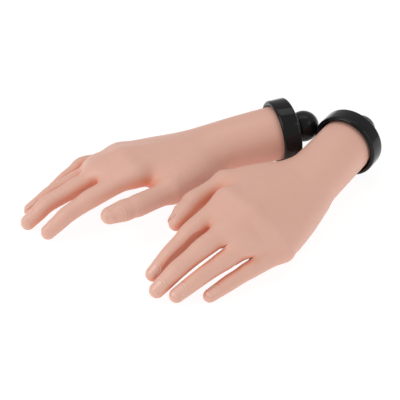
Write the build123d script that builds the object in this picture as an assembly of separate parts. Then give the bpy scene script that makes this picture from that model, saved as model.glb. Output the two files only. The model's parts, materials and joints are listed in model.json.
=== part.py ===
from build123d import *
import os
from dataclasses import dataclass
from math import asin, cos, degrees, radians

# A pair of soft practice hands, right and left, lying palm down beside each other.
# Each hand is a flexible skin over a posable armature, held in a round wrist collar
# with a base plate and a ball knob behind it. Millimetres and degrees, +Z up, floor
# at z = 0, origin on the floor under the middle of the pair.
#
# Hand frame: origin at the wrist, +X to the fingers, +Z out of the back of the hand.
# A right hand's thumb lies on the +Y side and a left hand's on the -Y side, so widths
# and side angles below are a right hand's, and a left hand takes them with a minus.
# Every hinge turns about the local Y axis, and a positive angle bends the digit.

# ---- wrist collar, base plate and knob, turned about the forearm axis
collar_radius = 28.5
collar_width = 16.0
collar_lip = 1.8  # rounding of the collar's outer edges
mouth_lip = 1.2  # rounding where the skin enters
forearm_radius = 23.5  # skin inside the collar
plate_thickness = 4.0
plate_ledge = 2.2  # how far the base plate is wider than the skin
knob_radius = 13.5
knob_reach = 12.0  # from the plate's back face to the knob's centre
neck_radius = 10.5
neck_fillet = 2.2
flange_thickness = 3.0  # root flange of the armature, behind the plate
flange_margin = 3.0  # skin left around the flange
spigot_radius = 8.0

# ---- screws through the base plate into the flange
screw_count = 3
screw_circle = 17.6
screw_radius = 1.6
screw_head_radius = 3.2
screw_head_height = 1.8
screw_bite = 2.2  # how deep a screw stands in the flange

# ---- forearm and palm
forearm_length = 54.0  # wrist to the collar's front edge
forearm_yaw = -8.0
forearm_pitch = 6.0
wrist_width = 49.0
wrist_depth = 40.0
palm_length = 70.0  # wrist to the end of the palm pad
palm_width = 68.0
palm_depth = 29.0
palm_end_depth = 19.0
thumb_root = (21.0, 23.0, -10.0)
thumb_yaw = 27.0
thumb_roll = 75.0
thumb_metacarpal = 44.0
web_reach = 0.5  # share of the thumb's metacarpal that the web joins
web_radius = 7.5

# ---- armature: forks, tongues and pins, one size for every hinge
pin_radius = 1.5
pin_head_radius = 2.3
pin_head_height = 0.6
eye_radius = 3.6  # rounded end about a hinge pin
tongue_width = 3.0
cheek_width = 1.7
yoke_reach = 8.0  # hinge axis to the root of a fork's yoke
neck_half_height = 2.1
fork_throat = 4.6  # hinge axis to the bottom of a fork's slot
shaft_radius = 2.7
arm_radius = 4.4  # palm frame arms at the hub
hub_radius = 13.0
hub_thickness = 6.0
arm_spread = 0.2  # how far each arm's root follows its knuckle to the side
nail_thickness = 0.8
nail_rise = 0.5  # nail standing proud of the skin
bed_thickness = 0.9  # hard bed under a nail
bed_margin = 1.2

# ---- clearances
running_gap = 0.05  # radial, pin in its bore
side_gap = 0.12  # each side of a tongue in its fork
skin_gap = 0.4  # between two skins at a hinge
room_gap = 0.5  # skin round moving metal
rim_angle = 62.0  # where a moving skin ends on the back of a ball, from its own axis

# ---- hinge travel, counted from a straight digit
knuckle_range = (-8.0, 45.0)
middle_range = (-2.0, 60.0)
little_knuckle_range = (-3.0, 45.0)
thumb_knuckle_range = (-12.0, 28.0)
thumb_middle_range = (-8.0, 16.0)


signs = {"right": 1, "left": -1}  # side of the hand on which its thumb lies


@dataclass
class Digit:
    root: tuple  # knuckle hinge of a finger, or root of the thumb, in the hand frame
    lengths: tuple  # knuckle to middle hinge, to end bend, to fingertip centre
    radii: tuple  # skin at knuckle, middle hinge, end bend and fingertip
    end_bend: float
    nail: tuple  # length and width
    ridge: tuple  # where the knuckle's ridge starts in the palm
    ridge_radius: float
    knuckle_range: tuple = knuckle_range
    middle_range: tuple = middle_range
    turn: tuple = (0.0, 0.0, 0.0)  # yaw, roll and length of the bone before the knuckle


digits = {
    "thumb": Digit(thumb_root, (33.0, 12.0, 12.5), (10.4, 8.7, 8.4, 7.0),
                   4.0, (13.0, 11.0), (20.0, 19.0, -8.0), 15.0, thumb_knuckle_range,
                   thumb_middle_range, (thumb_yaw, thumb_roll, thumb_metacarpal)),
    "index": Digit((83.0, 23.0, 2.5), (40.0, 23.0, 20.0), (9.4, 7.5, 6.7, 5.8),
                   11.0, (11.0, 9.0), (38.0, 15.0, 1.0), 10.5),
    "middle": Digit((84.0, 1.5, 6.5), (44.0, 27.0, 21.0), (9.4, 7.7, 6.9, 6.0),
                    17.0, (11.5, 9.4), (38.0, 1.0, 2.0), 11.0),
    "ring": Digit((79.0, -18.5, 3.0), (41.0, 25.5, 20.5), (8.4, 7.3, 6.6, 5.7),
                  12.0, (11.0, 9.0), (38.0, -13.0, 0.0), 10.5),
    "little": Digit((75.3, -35.2, -4.3), (32.0, 19.0, 18.0), (7.3, 6.4, 5.9, 5.1),
                    4.0, (9.5, 7.8), (30.0, -20.0, -5.0), 11.0, little_knuckle_range),
}

# ---- rest pose of each hand: splay, knuckle bend and middle bend of each digit
poses = {
    "right": {"thumb": (0.0, 12.7, 11.3), "index": (-3.0, 20.5, 5.3), "middle": (-1.8, 20.4, 0.0),
              "ring": (1.9, 17.7, 0.2), "little": (3.5, 0.0, 29.0)},
    "left": {"thumb": (0.0, 27.0, 13.0), "index": (-2.7, 16.5, 19.5), "middle": (3.4, 15.5, 15.0),
             "ring": (8.0, 14.5, 9.0), "little": (10.5, 9.7, 14.0)},
}

# ---- where each hand lies: wrist over the floor, heading, pitch and roll
places = {"right": (12.2, 77.7, 25.3, -4.0, 12.9), "left": (90.1, 30.9, 49.0, -4.9, 19.8)}

# ---- sizes that follow from the ones above
fork_width = tongue_width + 2 * (side_gap + cheek_width)
plate_radius = forearm_radius + plate_ledge
flange_radius = forearm_radius - flange_margin
collar_back = -forearm_length - collar_width
plate_front = collar_back + plate_thickness
across = Plane.YZ.location  # sections that stand across a limb, width along Y


# ---- small shapes shared by the pieces
def along_x(radius, start, end):
    middle = Pos((start + end) / 2, 0, 0)
    return middle * Cylinder(radius, abs(end - start), rotation=(0, 90, 0))


def about_y(radius, length):
    return Cylinder(radius, length, rotation=(90, 0, 0))


def turned(section):
    return revolve(section, Axis.X)


def tapered_bar(start, end, start_radius, end_radius):
    run = Vector(*end) - Vector(*start)
    grown = (Align.CENTER, Align.CENTER, Align.MIN)
    return Plane(origin=start, z_dir=run) * Cone(start_radius, end_radius, run.length, align=grown)


def teardrop(eye, foot, reach, width):
    """Plate with a round eye about the Y axis that narrows to a foot at reach along X."""
    outline = make_hull(Circle(eye).edges() + (Pos(reach, 0) * Circle(foot)).edges())
    return extrude(Plane.XZ * outline, width / 2, both=True)


def ball(radius):
    """Sphere with its poles on the X axis."""
    return Rot(0, 90, 0) * Sphere(radius)


def on_circle(radius, angle):
    return Vector(radius, 0).rotate(Axis.Z, angle)


def socketed_limb(length, radii, socket_radius):
    """Round limb along X: hollowed to turn on the ball before it, ending in its own ball."""
    hollow = CenterArc((0, 0), socket_radius, 0, rim_angle)
    rim = hollow.position_at(1)
    corner = (rim.X, radii[0])
    side = Polyline(corner, (length * 0.45, radii[1]), (length, radii[2]))
    end = CenterArc((length, 0), radii[2], 0, 90)
    base = Line((socket_radius, 0), (length + radii[2], 0))
    return turned(make_face([hollow, Line(rim, corner), side, end, base]))


# ---- hinges
def neck_reach(ball_radius):
    """Hinge axis to the start of a link's shaft, which stays outside the ball."""
    return ball_radius + skin_gap + shaft_radius


def tongue(ball_radius):
    """Moving half of a hinge: an eye on the pin, and the neck that leads to its link."""
    reach = neck_reach(ball_radius)
    return teardrop(eye_radius, neck_half_height, reach, tongue_width) + Pos(reach, 0, 0) * Sphere(shaft_radius)


def fork():
    """Fixed half of a hinge: two cheeks about the pin, joined by a yoke behind it."""
    solid = Rot(0, 180, 0) * teardrop(eye_radius, shaft_radius, yoke_reach, fork_width)
    slot_length = fork_throat + 2 * eye_radius
    slot = Box(slot_length, tongue_width + 2 * side_gap, 3 * eye_radius)
    return solid - Pos(slot_length / 2 - fork_throat, 0, 0) * slot


def fork_cutter(span, reach):
    """Room in the fixed skin for the tongue's eye and for its neck over the whole travel."""
    eye, foot = eye_radius + room_gap, neck_half_height + room_gap
    tangent = 90 - degrees(asin((eye - foot) / reach))
    corners = [on_circle(eye, -span[1] - tangent),
               on_circle(reach, -span[1]) + on_circle(foot, -span[1] - tangent),
               on_circle(reach, -span[0]) + on_circle(foot, -span[0] + tangent),
               on_circle(eye, -span[0] + tangent)]
    back = on_circle(eye, 180 - (span[0] + span[1]) / 2)
    outline = make_face([Polyline(corners), ThreePointArc(corners[-1], back, corners[0])])
    return extrude(Plane.XZ * outline, tongue_width / 2 + room_gap, both=True)


def rim_cutter(radius, span):
    """Slants the rim of a moving skin, so that it can bend on the palm side."""
    palm_rim = 87.0 - span[1]
    tilt = (rim_angle - palm_rim) / 2
    depth = radius * cos(radians((rim_angle + palm_rim) / 2))
    size = 4 * radius
    return Rot(0, -tilt, 0) * Pos(depth - size / 2, 0, 0) * Box(size, size, size)


# ---- digits, each in the frame of its own hinge
def end_frame(digit):
    return Pos(digit.lengths[1], 0, 0) * Rot(0, digit.end_bend, 0)


def lower_link(digit):
    length = digit.lengths[0]
    start, end = neck_reach(digit.radii[0]), length - yoke_reach + shaft_radius / 2
    shaft = tapered_bar((start, 0, 0), (end, 0, 0), shaft_radius * 0.98, shaft_radius * 0.9)
    link = tongue(digit.radii[0]) + shaft + Pos(length, 0, 0) * fork()
    link -= about_y(pin_radius + running_gap, fork_width)
    return link - Pos(length, 0, 0) * about_y(pin_radius + running_gap, 2 * fork_width)


def lower_skin(digit, link):
    length = digit.lengths[0]
    knuckle, middle = digit.radii[:2]
    skin = socketed_limb(length, (knuckle * 0.98, (knuckle + middle) / 2, middle), knuckle + skin_gap)
    skin -= rim_cutter(knuckle, digit.knuckle_range)
    hinge = Pos(length, 0, 0)
    skin -= hinge * fork_cutter(digit.middle_range, 1.5 * middle)
    skin -= hinge * about_y(pin_radius + room_gap, fork_width + 2 * room_gap)
    return skin - filled_bores(link, hinge)


def filled_bores(link, hinge):
    """The link as the skin was cast round it, with no skin inside its bores."""
    plug = about_y(pin_radius + running_gap, tongue_width)
    return link + plug + hinge * about_y(pin_radius + running_gap, fork_width)


def nail_shell(digit, outer_radius, thickness, length, width):
    """Curved plate over the end of the digit, its free edge at the fingertip."""
    tip = digit.lengths[2] + digit.radii[3] * 0.55
    outline = RectangleRounded(length, width, width * 0.42)
    front = tip - (digit.nail[0] - length) / 2
    prism = extrude(Pos(front - length / 2, 0) * outline, 2 * outer_radius)
    tube = along_x(outer_radius, front - 2 * length, front + length)
    tube -= along_x(outer_radius - thickness, front - 3 * length, front + 2 * length)
    return end_frame(digit) * (tube & prism)


def nail_radius(digit):
    return (digit.radii[2] + 2 * digit.radii[3]) / 3 + nail_rise


def nail(digit):
    return nail_shell(digit, nail_radius(digit), nail_thickness, *digit.nail)


def tip_link(digit):
    middle, end = digit.lengths[1:]
    shaft_end = shaft_radius * 0.8
    start = neck_reach(digit.radii[1])
    link = tongue(digit.radii[1])
    if middle > start + 1:
        link += tapered_bar((start, 0, 0), (middle, 0, 0), shaft_radius * 0.98, shaft_end * 0.98)
    link += Pos(middle, 0, 0) * Sphere(shaft_end)
    link += end_frame(digit) * tapered_bar((0, 0, 0), (end - 2, 0, 0), shaft_end * 0.96, shaft_end * 0.8)
    link += about_y(pin_radius, fork_width)
    bed_outer = nail_radius(digit) - nail_thickness
    bed = nail_shell(digit, bed_outer, bed_thickness, digit.nail[0] - 4 * bed_margin,
                     digit.nail[1] - 2 * bed_margin)
    post_height = bed_outer - bed_thickness / 2
    post = Pos(end - 3.0, 0, post_height / 2) * Box(2.4, 2.4, post_height)
    return link + bed + end_frame(digit) * post


def tip_skin(digit, link, shell):
    middle, end = digit.lengths[1:]
    hinge, bend, tip = digit.radii[1:]
    end_place = end_frame(digit) * Pos(end, 0, 0)
    sections = [across * Circle(hinge * 0.98),
                Pos(middle, 0, 0) * Rot(0, digit.end_bend / 2, 0) * across * Circle(bend),
                end_place * across * Circle(tip)]
    cap = turned(make_face([CenterArc((0, 0), tip, 0, 90), Polyline((tip, 0), (0, 0), (0, tip))]))
    skin = loft(sections) + end_place * cap
    skin -= Sphere(hinge + skin_gap)
    skin -= rim_cutter(hinge, digit.middle_range)
    return skin - shell - link


# ---- frames and the palm, each in the frame of one hand
def sided(side, point):
    """A right hand's point, or where a left hand has it."""
    x, y, z = point
    return Vector(x, signs[side] * y, z)


def forearm_frame(side):
    return Rot(0, 0, signs[side] * forearm_yaw) * Rot(0, forearm_pitch, 0)


def bone_frame(side, digit, reach):
    """Frame on the bone before the knuckle, at reach from the digit's root."""
    yaw, roll, _ = digit.turn
    turn = Rot(0, 0, signs[side] * yaw) * Rot(-signs[side] * roll, 0, 0)
    return Pos(sided(side, digit.root)) * turn * Pos(reach, 0, 0)


def knuckle_frames(side):
    return {name: bone_frame(side, digit, digit.turn[2]) * Rot(0, 0, signs[side] * poses[side][name][0])
            for name, digit in digits.items()}


def palm_frame(side):
    """Armature plate: flange and spigot in the forearm, a hub, and an arm to each fork."""
    frames, forearm = knuckle_frames(side), forearm_frame(side)
    spigot = forearm * along_x(spigot_radius, plate_front, 0)
    flange = forearm * along_x(flange_radius, plate_front, plate_front + flange_thickness)
    hub_centre = (14.0, 0.0, 0.0)
    hub = Pos(*hub_centre) * Cylinder(hub_radius, hub_thickness)
    shoulder = tapered_bar((0, 0, 0), hub_centre, spigot_radius * 0.98, hub_thickness)
    frame = spigot + flange + hub + shoulder + Sphere(spigot_radius)
    for place in frames.values():
        yoke = (place * Pos(-(fork_throat + yoke_reach) / 2, 0, 0)).position
        root = (hub_centre[0], place.position.Y * arm_spread, 0)
        frame += tapered_bar(root, yoke, arm_radius, shaft_radius * 0.9)
        frame += place * fork()
    for place in frames.values():
        frame -= place * about_y(pin_radius, 2 * fork_width)
    return frame - forearm * screw_places(screw())


def knuckle_pin():
    head = Pos(0, fork_width / 2 + pin_head_height / 2, 0) * about_y(pin_head_radius, pin_head_height)
    return about_y(pin_radius, fork_width) + head + mirror(head, Plane.XZ)


def palm_body(side):
    """Forearm and palm without knuckles: ellipses across the hand, and a plug in the collar."""
    ellipses = [(0.0, 0.0, 0.0, wrist_width, wrist_depth),
                (palm_length * 0.42, -3.0, -2.5, palm_width * 0.88, palm_depth * 1.12),
                (palm_length * 0.8, -4.5, -1.5, palm_width, palm_depth),
                (palm_length, -5.5, -0.5, palm_width * 0.96, palm_end_depth)]
    forearm = forearm_frame(side)
    sections = [forearm * Pos(-forearm_length, 0, 0) * across * Circle(forearm_radius)]
    sections += [Pos(sided(side, (x, y, z))) * across * Ellipse(width / 2, depth / 2)
                 for x, y, z, width, depth in ellipses]
    return loft(sections, ruled=True) + forearm * along_x(forearm_radius, plate_front, -forearm_length)


def palm_skin(side, frame):
    frames = knuckle_frames(side)
    skin = palm_body(side)
    for name, place in frames.items():
        digit = digits[name]
        ridge = sided(side, digit.ridge)
        skin += Pos(ridge) * ball(digit.ridge_radius)
        skin += tapered_bar(ridge, place.position, digit.ridge_radius * 0.9, digit.radii[0] * 0.9)
        skin += place * ball(digit.radii[0])
    thumb_side = bone_frame(side, digits["thumb"], thumb_metacarpal * web_reach).position
    index_side = sided(side, digits["index"].root) - sided(side, (2.2 * digits["index"].radii[0], 3, 4))
    skin += tapered_bar(index_side, thumb_side, web_radius, web_radius * 1.2)
    for name, place in frames.items():
        skin -= place * fork_cutter(digits[name].knuckle_range, 1.5 * digits[name].radii[0])
    skin -= frame
    for place in frames.values():
        skin -= place * knuckle_pin()
    return skin - (forearm_frame(side) * screw_places(screw())).solids()


# ---- collar, base plate with its knob, and screws, in the forearm's frame
def collar():
    band = Pos(collar_back + collar_width / 2, (collar_radius + forearm_radius) / 2) * Rectangle(
        collar_width, collar_radius - forearm_radius)
    band -= Pos(collar_back + plate_thickness / 2, plate_radius / 2) * Rectangle(plate_thickness, plate_radius)
    band = fillet(band.vertices().sort_by(Axis.Y)[-2:], collar_lip)
    mouth = band.vertices().sort_by(Axis.X).filter_by_position(Axis.Y, 0, forearm_radius + 0.01)[-1]
    return turned(fillet(mouth, mouth_lip))


def base_plate():
    centre = collar_back - knob_reach
    knob = Pos(centre, 0) * Circle(knob_radius)
    neck = Pos((centre + collar_back) / 2, 0) * Rectangle(knob_reach, 2 * neck_radius)
    plate = Pos(collar_back + plate_thickness / 2, 0) * Rectangle(plate_thickness, 2 * plate_radius)
    outline = knob + neck + plate
    corners = outline.vertices().filter_by_position(Axis.X, collar_back - 0.01, collar_back + 0.01)
    outline = fillet([v for v in corners if abs(v.Y) < plate_radius - 1], neck_fillet)
    half = outline & Pos(centre, plate_radius) * Rectangle(8 * knob_radius, 2 * plate_radius)
    return turned(half) - screw_places(screw())


def screw():
    back = collar_back
    shank = along_x(screw_radius, back, plate_front + screw_bite)
    head = make_face(Polyline((back, 0), (back, screw_head_radius),
                              (back + screw_head_height, screw_radius), (back + screw_head_height, 0),
                              close=True))
    return shank + turned(head)


def screw_places(piece):
    return Compound([Rot(i * 360 / screw_count, 0, 0) * Pos(0, 0, screw_circle) * piece
                     for i in range(screw_count)])


# ---- one hand in its own frame, then both on the floor
def hinge_frames(side):
    """Knuckle and middle hinge of each digit, each with its digit bent to the rest pose."""
    frames = {}
    for name, place in knuckle_frames(side).items():
        _, knuckle_bend, middle_bend = poses[side][name]
        lower = place * Rot(0, knuckle_bend, 0)
        frames[name] = (lower, lower * Pos(digits[name].lengths[0], 0, 0) * Rot(0, middle_bend, 0))
    return frames


def hand(side):
    forearm, frame = forearm_frame(side), palm_frame(side)
    pieces = {"collar": forearm * collar(), "base": forearm * base_plate(), "palm_frame": frame,
              "palm_skin": palm_skin(side, frame)}
    for name, (lower, upper) in hinge_frames(side).items():
        digit = digits[name]
        link, end_link, shell = lower_link(digit), tip_link(digit), nail(digit)
        pieces[f"{name}_lower_link"] = lower * link
        pieces[f"{name}_lower_skin"] = lower * lower_skin(digit, link)
        pieces[f"{name}_tip_link"] = upper * end_link
        pieces[f"{name}_tip_skin"] = upper * tip_skin(digit, end_link, shell)
        pieces[f"{name}_nail"] = upper * shell
    pieces["pins"] = Compound([place * knuckle_pin() for place in knuckle_frames(side).values()])
    pieces["screws"] = forearm * screw_places(screw())
    return pieces


def lie(side):
    """How a hand lies, before it is lowered onto the floor."""
    x, y, heading, pitch, roll = places[side]
    return Pos(x, y, 0) * Rot(0, 0, 180 + heading) * Rot(0, pitch, 0) * Rot(signs[side] * roll, 0, 0)


def laid_down(side, pieces):
    pieces = {name: lie(side) * piece for name, piece in pieces.items()}
    lowest = min(piece.bounding_box().min.Z for piece in pieces.values())
    return {name: Pos(0, 0, -lowest) * piece for name, piece in pieces.items()}


def pair():
    nodes = {}
    loose = {"pins": [], "screws": []}
    for side in places:
        pieces = laid_down(side, hand(side))
        for kind, group in loose.items():
            group += pieces.pop(kind).solids()
        nodes.update({f"{side}_{name}": piece for name, piece in pieces.items()})
    nodes["knuckle_pins"] = Compound(loose["pins"])
    nodes["base_screws"] = Compound(loose["screws"])
    box = Compound([solid for node in nodes.values() for solid in node.solids()]).bounding_box()
    centre = Pos(-box.center().X, -box.center().Y, 0)
    return {name: centre * node for name, node in nodes.items()}


os.makedirs("parts", exist_ok=True)
for name, node in pair().items():
    export_step(node, f"parts/{name}.step")
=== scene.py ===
import json
import math

import bmesh
import bpy
import numpy as np
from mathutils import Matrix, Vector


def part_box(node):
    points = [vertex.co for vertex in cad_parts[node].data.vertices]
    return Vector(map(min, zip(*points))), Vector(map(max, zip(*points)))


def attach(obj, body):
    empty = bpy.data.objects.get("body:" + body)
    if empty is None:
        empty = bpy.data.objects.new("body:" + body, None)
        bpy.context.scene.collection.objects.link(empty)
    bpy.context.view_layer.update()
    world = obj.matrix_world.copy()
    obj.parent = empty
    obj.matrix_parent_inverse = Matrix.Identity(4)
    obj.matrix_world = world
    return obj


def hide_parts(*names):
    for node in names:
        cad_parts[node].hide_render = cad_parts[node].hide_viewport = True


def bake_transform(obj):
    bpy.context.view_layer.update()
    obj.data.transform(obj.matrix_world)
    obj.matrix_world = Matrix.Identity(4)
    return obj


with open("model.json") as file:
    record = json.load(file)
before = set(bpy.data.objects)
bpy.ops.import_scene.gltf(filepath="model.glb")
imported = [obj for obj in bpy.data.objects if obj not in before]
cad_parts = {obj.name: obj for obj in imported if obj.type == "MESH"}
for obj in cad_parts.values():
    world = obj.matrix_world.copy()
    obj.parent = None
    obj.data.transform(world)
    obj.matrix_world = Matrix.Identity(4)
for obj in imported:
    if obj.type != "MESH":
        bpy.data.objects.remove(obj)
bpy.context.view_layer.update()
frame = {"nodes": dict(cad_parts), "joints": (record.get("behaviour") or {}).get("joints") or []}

import openvdb
from mathutils import Matrix, Vector

# A pair of soft practice hands. The skin is one smooth surface per hand, made from a distance field
# round the hinges of the frame and cut into pieces there.
# Sizes are millimetres in the hand's frame: +X to the fingers, +Z out of the back, and
# the thumb on +Y for a right hand. A left hand takes every Y with a minus.

sides = {"right": 1, "left": -1}
millimetre = 0.001


# curves and frames
def unit(v):
    return v / np.linalg.norm(v)


def turnedAbout(v, axis, degrees):
    a = math.radians(degrees)
    return v * math.cos(a) + np.cross(axis, v) * math.sin(a) + axis * (axis @ v) * (1 - math.cos(a))


def smoothPath(points, perSpan=3):
    # a curve through the points, with perSpan steps between two of them
    points = np.asarray(points, float)
    padded = np.vstack([2 * points[0] - points[1], points, 2 * points[-1] - points[-2]])
    path = []
    for i in range(len(points) - 1):
        a, b, c, d = padded[i:i + 4]
        for t in np.linspace(0, 1, perSpan, endpoint=False):
            path.append(0.5 * (2 * b + (c - a) * t + (2 * a - 5 * b + 4 * c - d) * t ** 2
                               + (3 * b - a - 3 * c + d) * t ** 3))
    path.append(points[-1])
    return np.array(path)


def jointOf(side, digit, kind):
    name = f"{side}_{digit}_{kind}"
    joint = next(j for j in frame["joints"] if j["name"] == name)
    return np.array(joint["pos_m"]), np.array(joint["axis"]), joint["range_deg"]


# the shape of the hands

# root: the knuckle hinge. reach: from there to the middle hinge, on to the end bend, on to the
# tip. radii: half widths at those four places. straight: the bend, in degrees, that the middle
# hinge keeps when it is fully open. endBend: the fixed bend before the tip. cut: how far past
# the knuckle the two moving pieces meet. blendEnd: how far past the middle hinge the skin still
# gives. nail: its length and width. bed: how high the bed under the nail stands over the middle
# of the tip
digits = {
    "thumb": dict(root=(60.20, 42.98, -10.0), reach=(33, 12, 12.5), radii=(9.5, 8.8, 8.7, 7.2),
                  straight=-8, endBend=4, cut=26, blendEnd=12, nail=(13.5, 11.4), bed=7.17),
    "index": dict(root=(83, 23, 2.5), reach=(40, 23, 20), radii=(8.9, 7.8, 6.9, 6.0),
                  straight=-2, endBend=11, cut=33, blendEnd=12, nail=(11.4, 9.2), bed=5.80),
    "middle": dict(root=(84, 1.5, 6.5), reach=(44, 27, 21), radii=(9.1, 7.8, 6.9, 6.15),
                   straight=-2, endBend=17, cut=38.5, blendEnd=12, nail=(11.8, 9.6), bed=6.00),
    "ring": dict(root=(79, -18.5, 3), reach=(41, 25.5, 20.5), radii=(8.6, 7.4, 6.6, 5.85),
                 straight=-2, endBend=12, cut=36.5, blendEnd=12, nail=(11.4, 9.2), bed=5.70),
    "little": dict(root=(75.3, -35.2, -4.3), reach=(32, 19, 18), radii=(6.8, 6.7, 6.1, 5.3),
                   straight=-2, endBend=4, cut=29, blendEnd=11, nail=(9.8, 7.9), bed=5.07),
}
fingerOrder = ["index", "middle", "ring", "little"]

# shares of a digit's half width: midway between its hinges, at each hinge, and its heights over
# and under the axis from knuckle to tip; blend is how softly it grows out of the palm
digitForm = dict(midway=(0.965, 0.965, 1.0), atHinge=(1.03, 1.01, 0.97), heightsAt=(0, 0.33, 0.8, 1),
                 above=(0.85, 0.96, 0.98, 0.96), below=(1.0, 1.0, 1.02, 0.95), tipCap=1.02, blend=7.0)

# webs between neighbouring fingers: how far along each of the two fingers they reach, and their
# form from the palm to the front edge, with wide as a share of half the room between the knuckles
webs = {("index", "middle"): (20, 25), ("middle", "ring"): (20.5, 24.5), ("ring", "little"): (17, 18)}
webForm = dict(stations=5, drop=(1.0, 1.5), wide=(0.8, 0.55), above=(7.6, 3.2), below=(9.0, 5.0),
               caps=(6.0, 3.0), blend=9)

# tubes of the palm: stations of x, y, z, half width, height above and depth below
palmTubes = {
    "forearm": dict(blend=8, stations=[
        (-68, 9.5, 7.2, 23.4, 23.4, 23.4), (-54, 7.5, 5.7, 23.6, 23.4, 23.4),
        (-26, 3.4, 2.6, 23.6, 22.8, 21.6), (0, 0, 0, 24.2, 21.0, 19.2),
        (22, -1.8, -1.2, 26.6, 18.6, 17.4), (44, -2.6, -1.6, 28.6, 16.4, 15.6),
        (62, -3.6, -1.4, 29.4, 15.2, 13.6), (79, -4.2, -0.2, 28.6, 14.8, 11.4),
        (93, -3.0, 0.4, 25.0, 12.0, 9.0)]),
    "indexRay": dict(blend=15, stations=[
        (30, 12, 0, 8, 8, 8), (55, 18, 0.8, 8.6, 9.4, 10), (83, 23, 1.7, 8.8, 8.5, 9.5)]),
    "middleRay": dict(blend=12, stations=[
        (30, 3, 2, 8, 8, 8), (55, 2, 3.6, 8.6, 9.2, 10), (84, 1.5, 5.6, 8.9, 8.6, 10)]),
    "ringRay": dict(blend=12, stations=[
        (30, -8, 0, 8, 8, 8), (55, -14, 1, 8.6, 9.6, 10), (79, -18.5, 2.2, 8.5, 8.1, 9.5)]),
    "littleRay": dict(blend=12, stations=[
        (16, -13, -4, 8, 8, 9), (45, -23, -3.6, 8.8, 9.4, 10),
        (62, -29, -3.8, 8.2, 8.2, 9.4), (74, -33.4, -4.0, 7.0, 6.8, 8.2)]),
    "thenar": dict(blend=14, stations=[
        (14, 12, -8, 10, 9, 10), (34, 21, -12, 13.5, 12, 12.5), (54, 29, -11, 11, 10.5, 10)]),
    "thumbRay": dict(blend=14, stations=[
        (10, 13, -5, 10, 11, 11), (34, 28, -8.2, 11.5, 12, 12.5), (59, 41.5, -9.8, 9.0, 9.2, 9.8)]),
    "hypothenar": dict(blend=14, stations=[
        (14, -14, -7, 9, 9, 9), (38, -20.5, -9, 11, 11, 10), (61, -26.5, -8, 9, 8.6, 9)]),
    "firstWeb": dict(blend=12, stations=[
        (30, 20, -6, 11, 10, 10), (50, 27.5, -6, 10, 8.6, 8.6), (60, 29, -5, 6, 6.5, 6.5)]),
}
palmCap = 0.9  # how far a palm tube's front end runs on, as a share of its half width
crosswise = np.array([0, 1.0, 0])  # the way across the palm


def fittedFrame(side):
    # the turn and move that lay the hand's own frame on the knuckle hinges
    local = np.array([digits[n]["root"] for n in digits]) * (1, sides[side], 1)
    world = np.array([jointOf(side, n, "knuckle")[0] for n in digits]) / millimetre
    a, b = local - local.mean(0), world - world.mean(0)
    u, _, vt = np.linalg.svd(a.T @ b)
    sign = np.sign(np.linalg.det(vt.T @ u.T))
    turn = vt.T @ np.diag([1, 1, sign]) @ u.T
    move = world.mean(0) - turn @ local.mean(0)
    off = np.abs((turn @ local.T).T + move - world).max()
    print(f"{side} hand frame fits its knuckles within {off:.3f} mm")
    return turn, move


skinGrid = dict(voxel=0.85, quickVoxel=1.5, block=4, margin=4.0, batch=4000, projections=3, step=0.35,
                outside=40.0, palmReach=14.0, digitReach=12.0)


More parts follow.
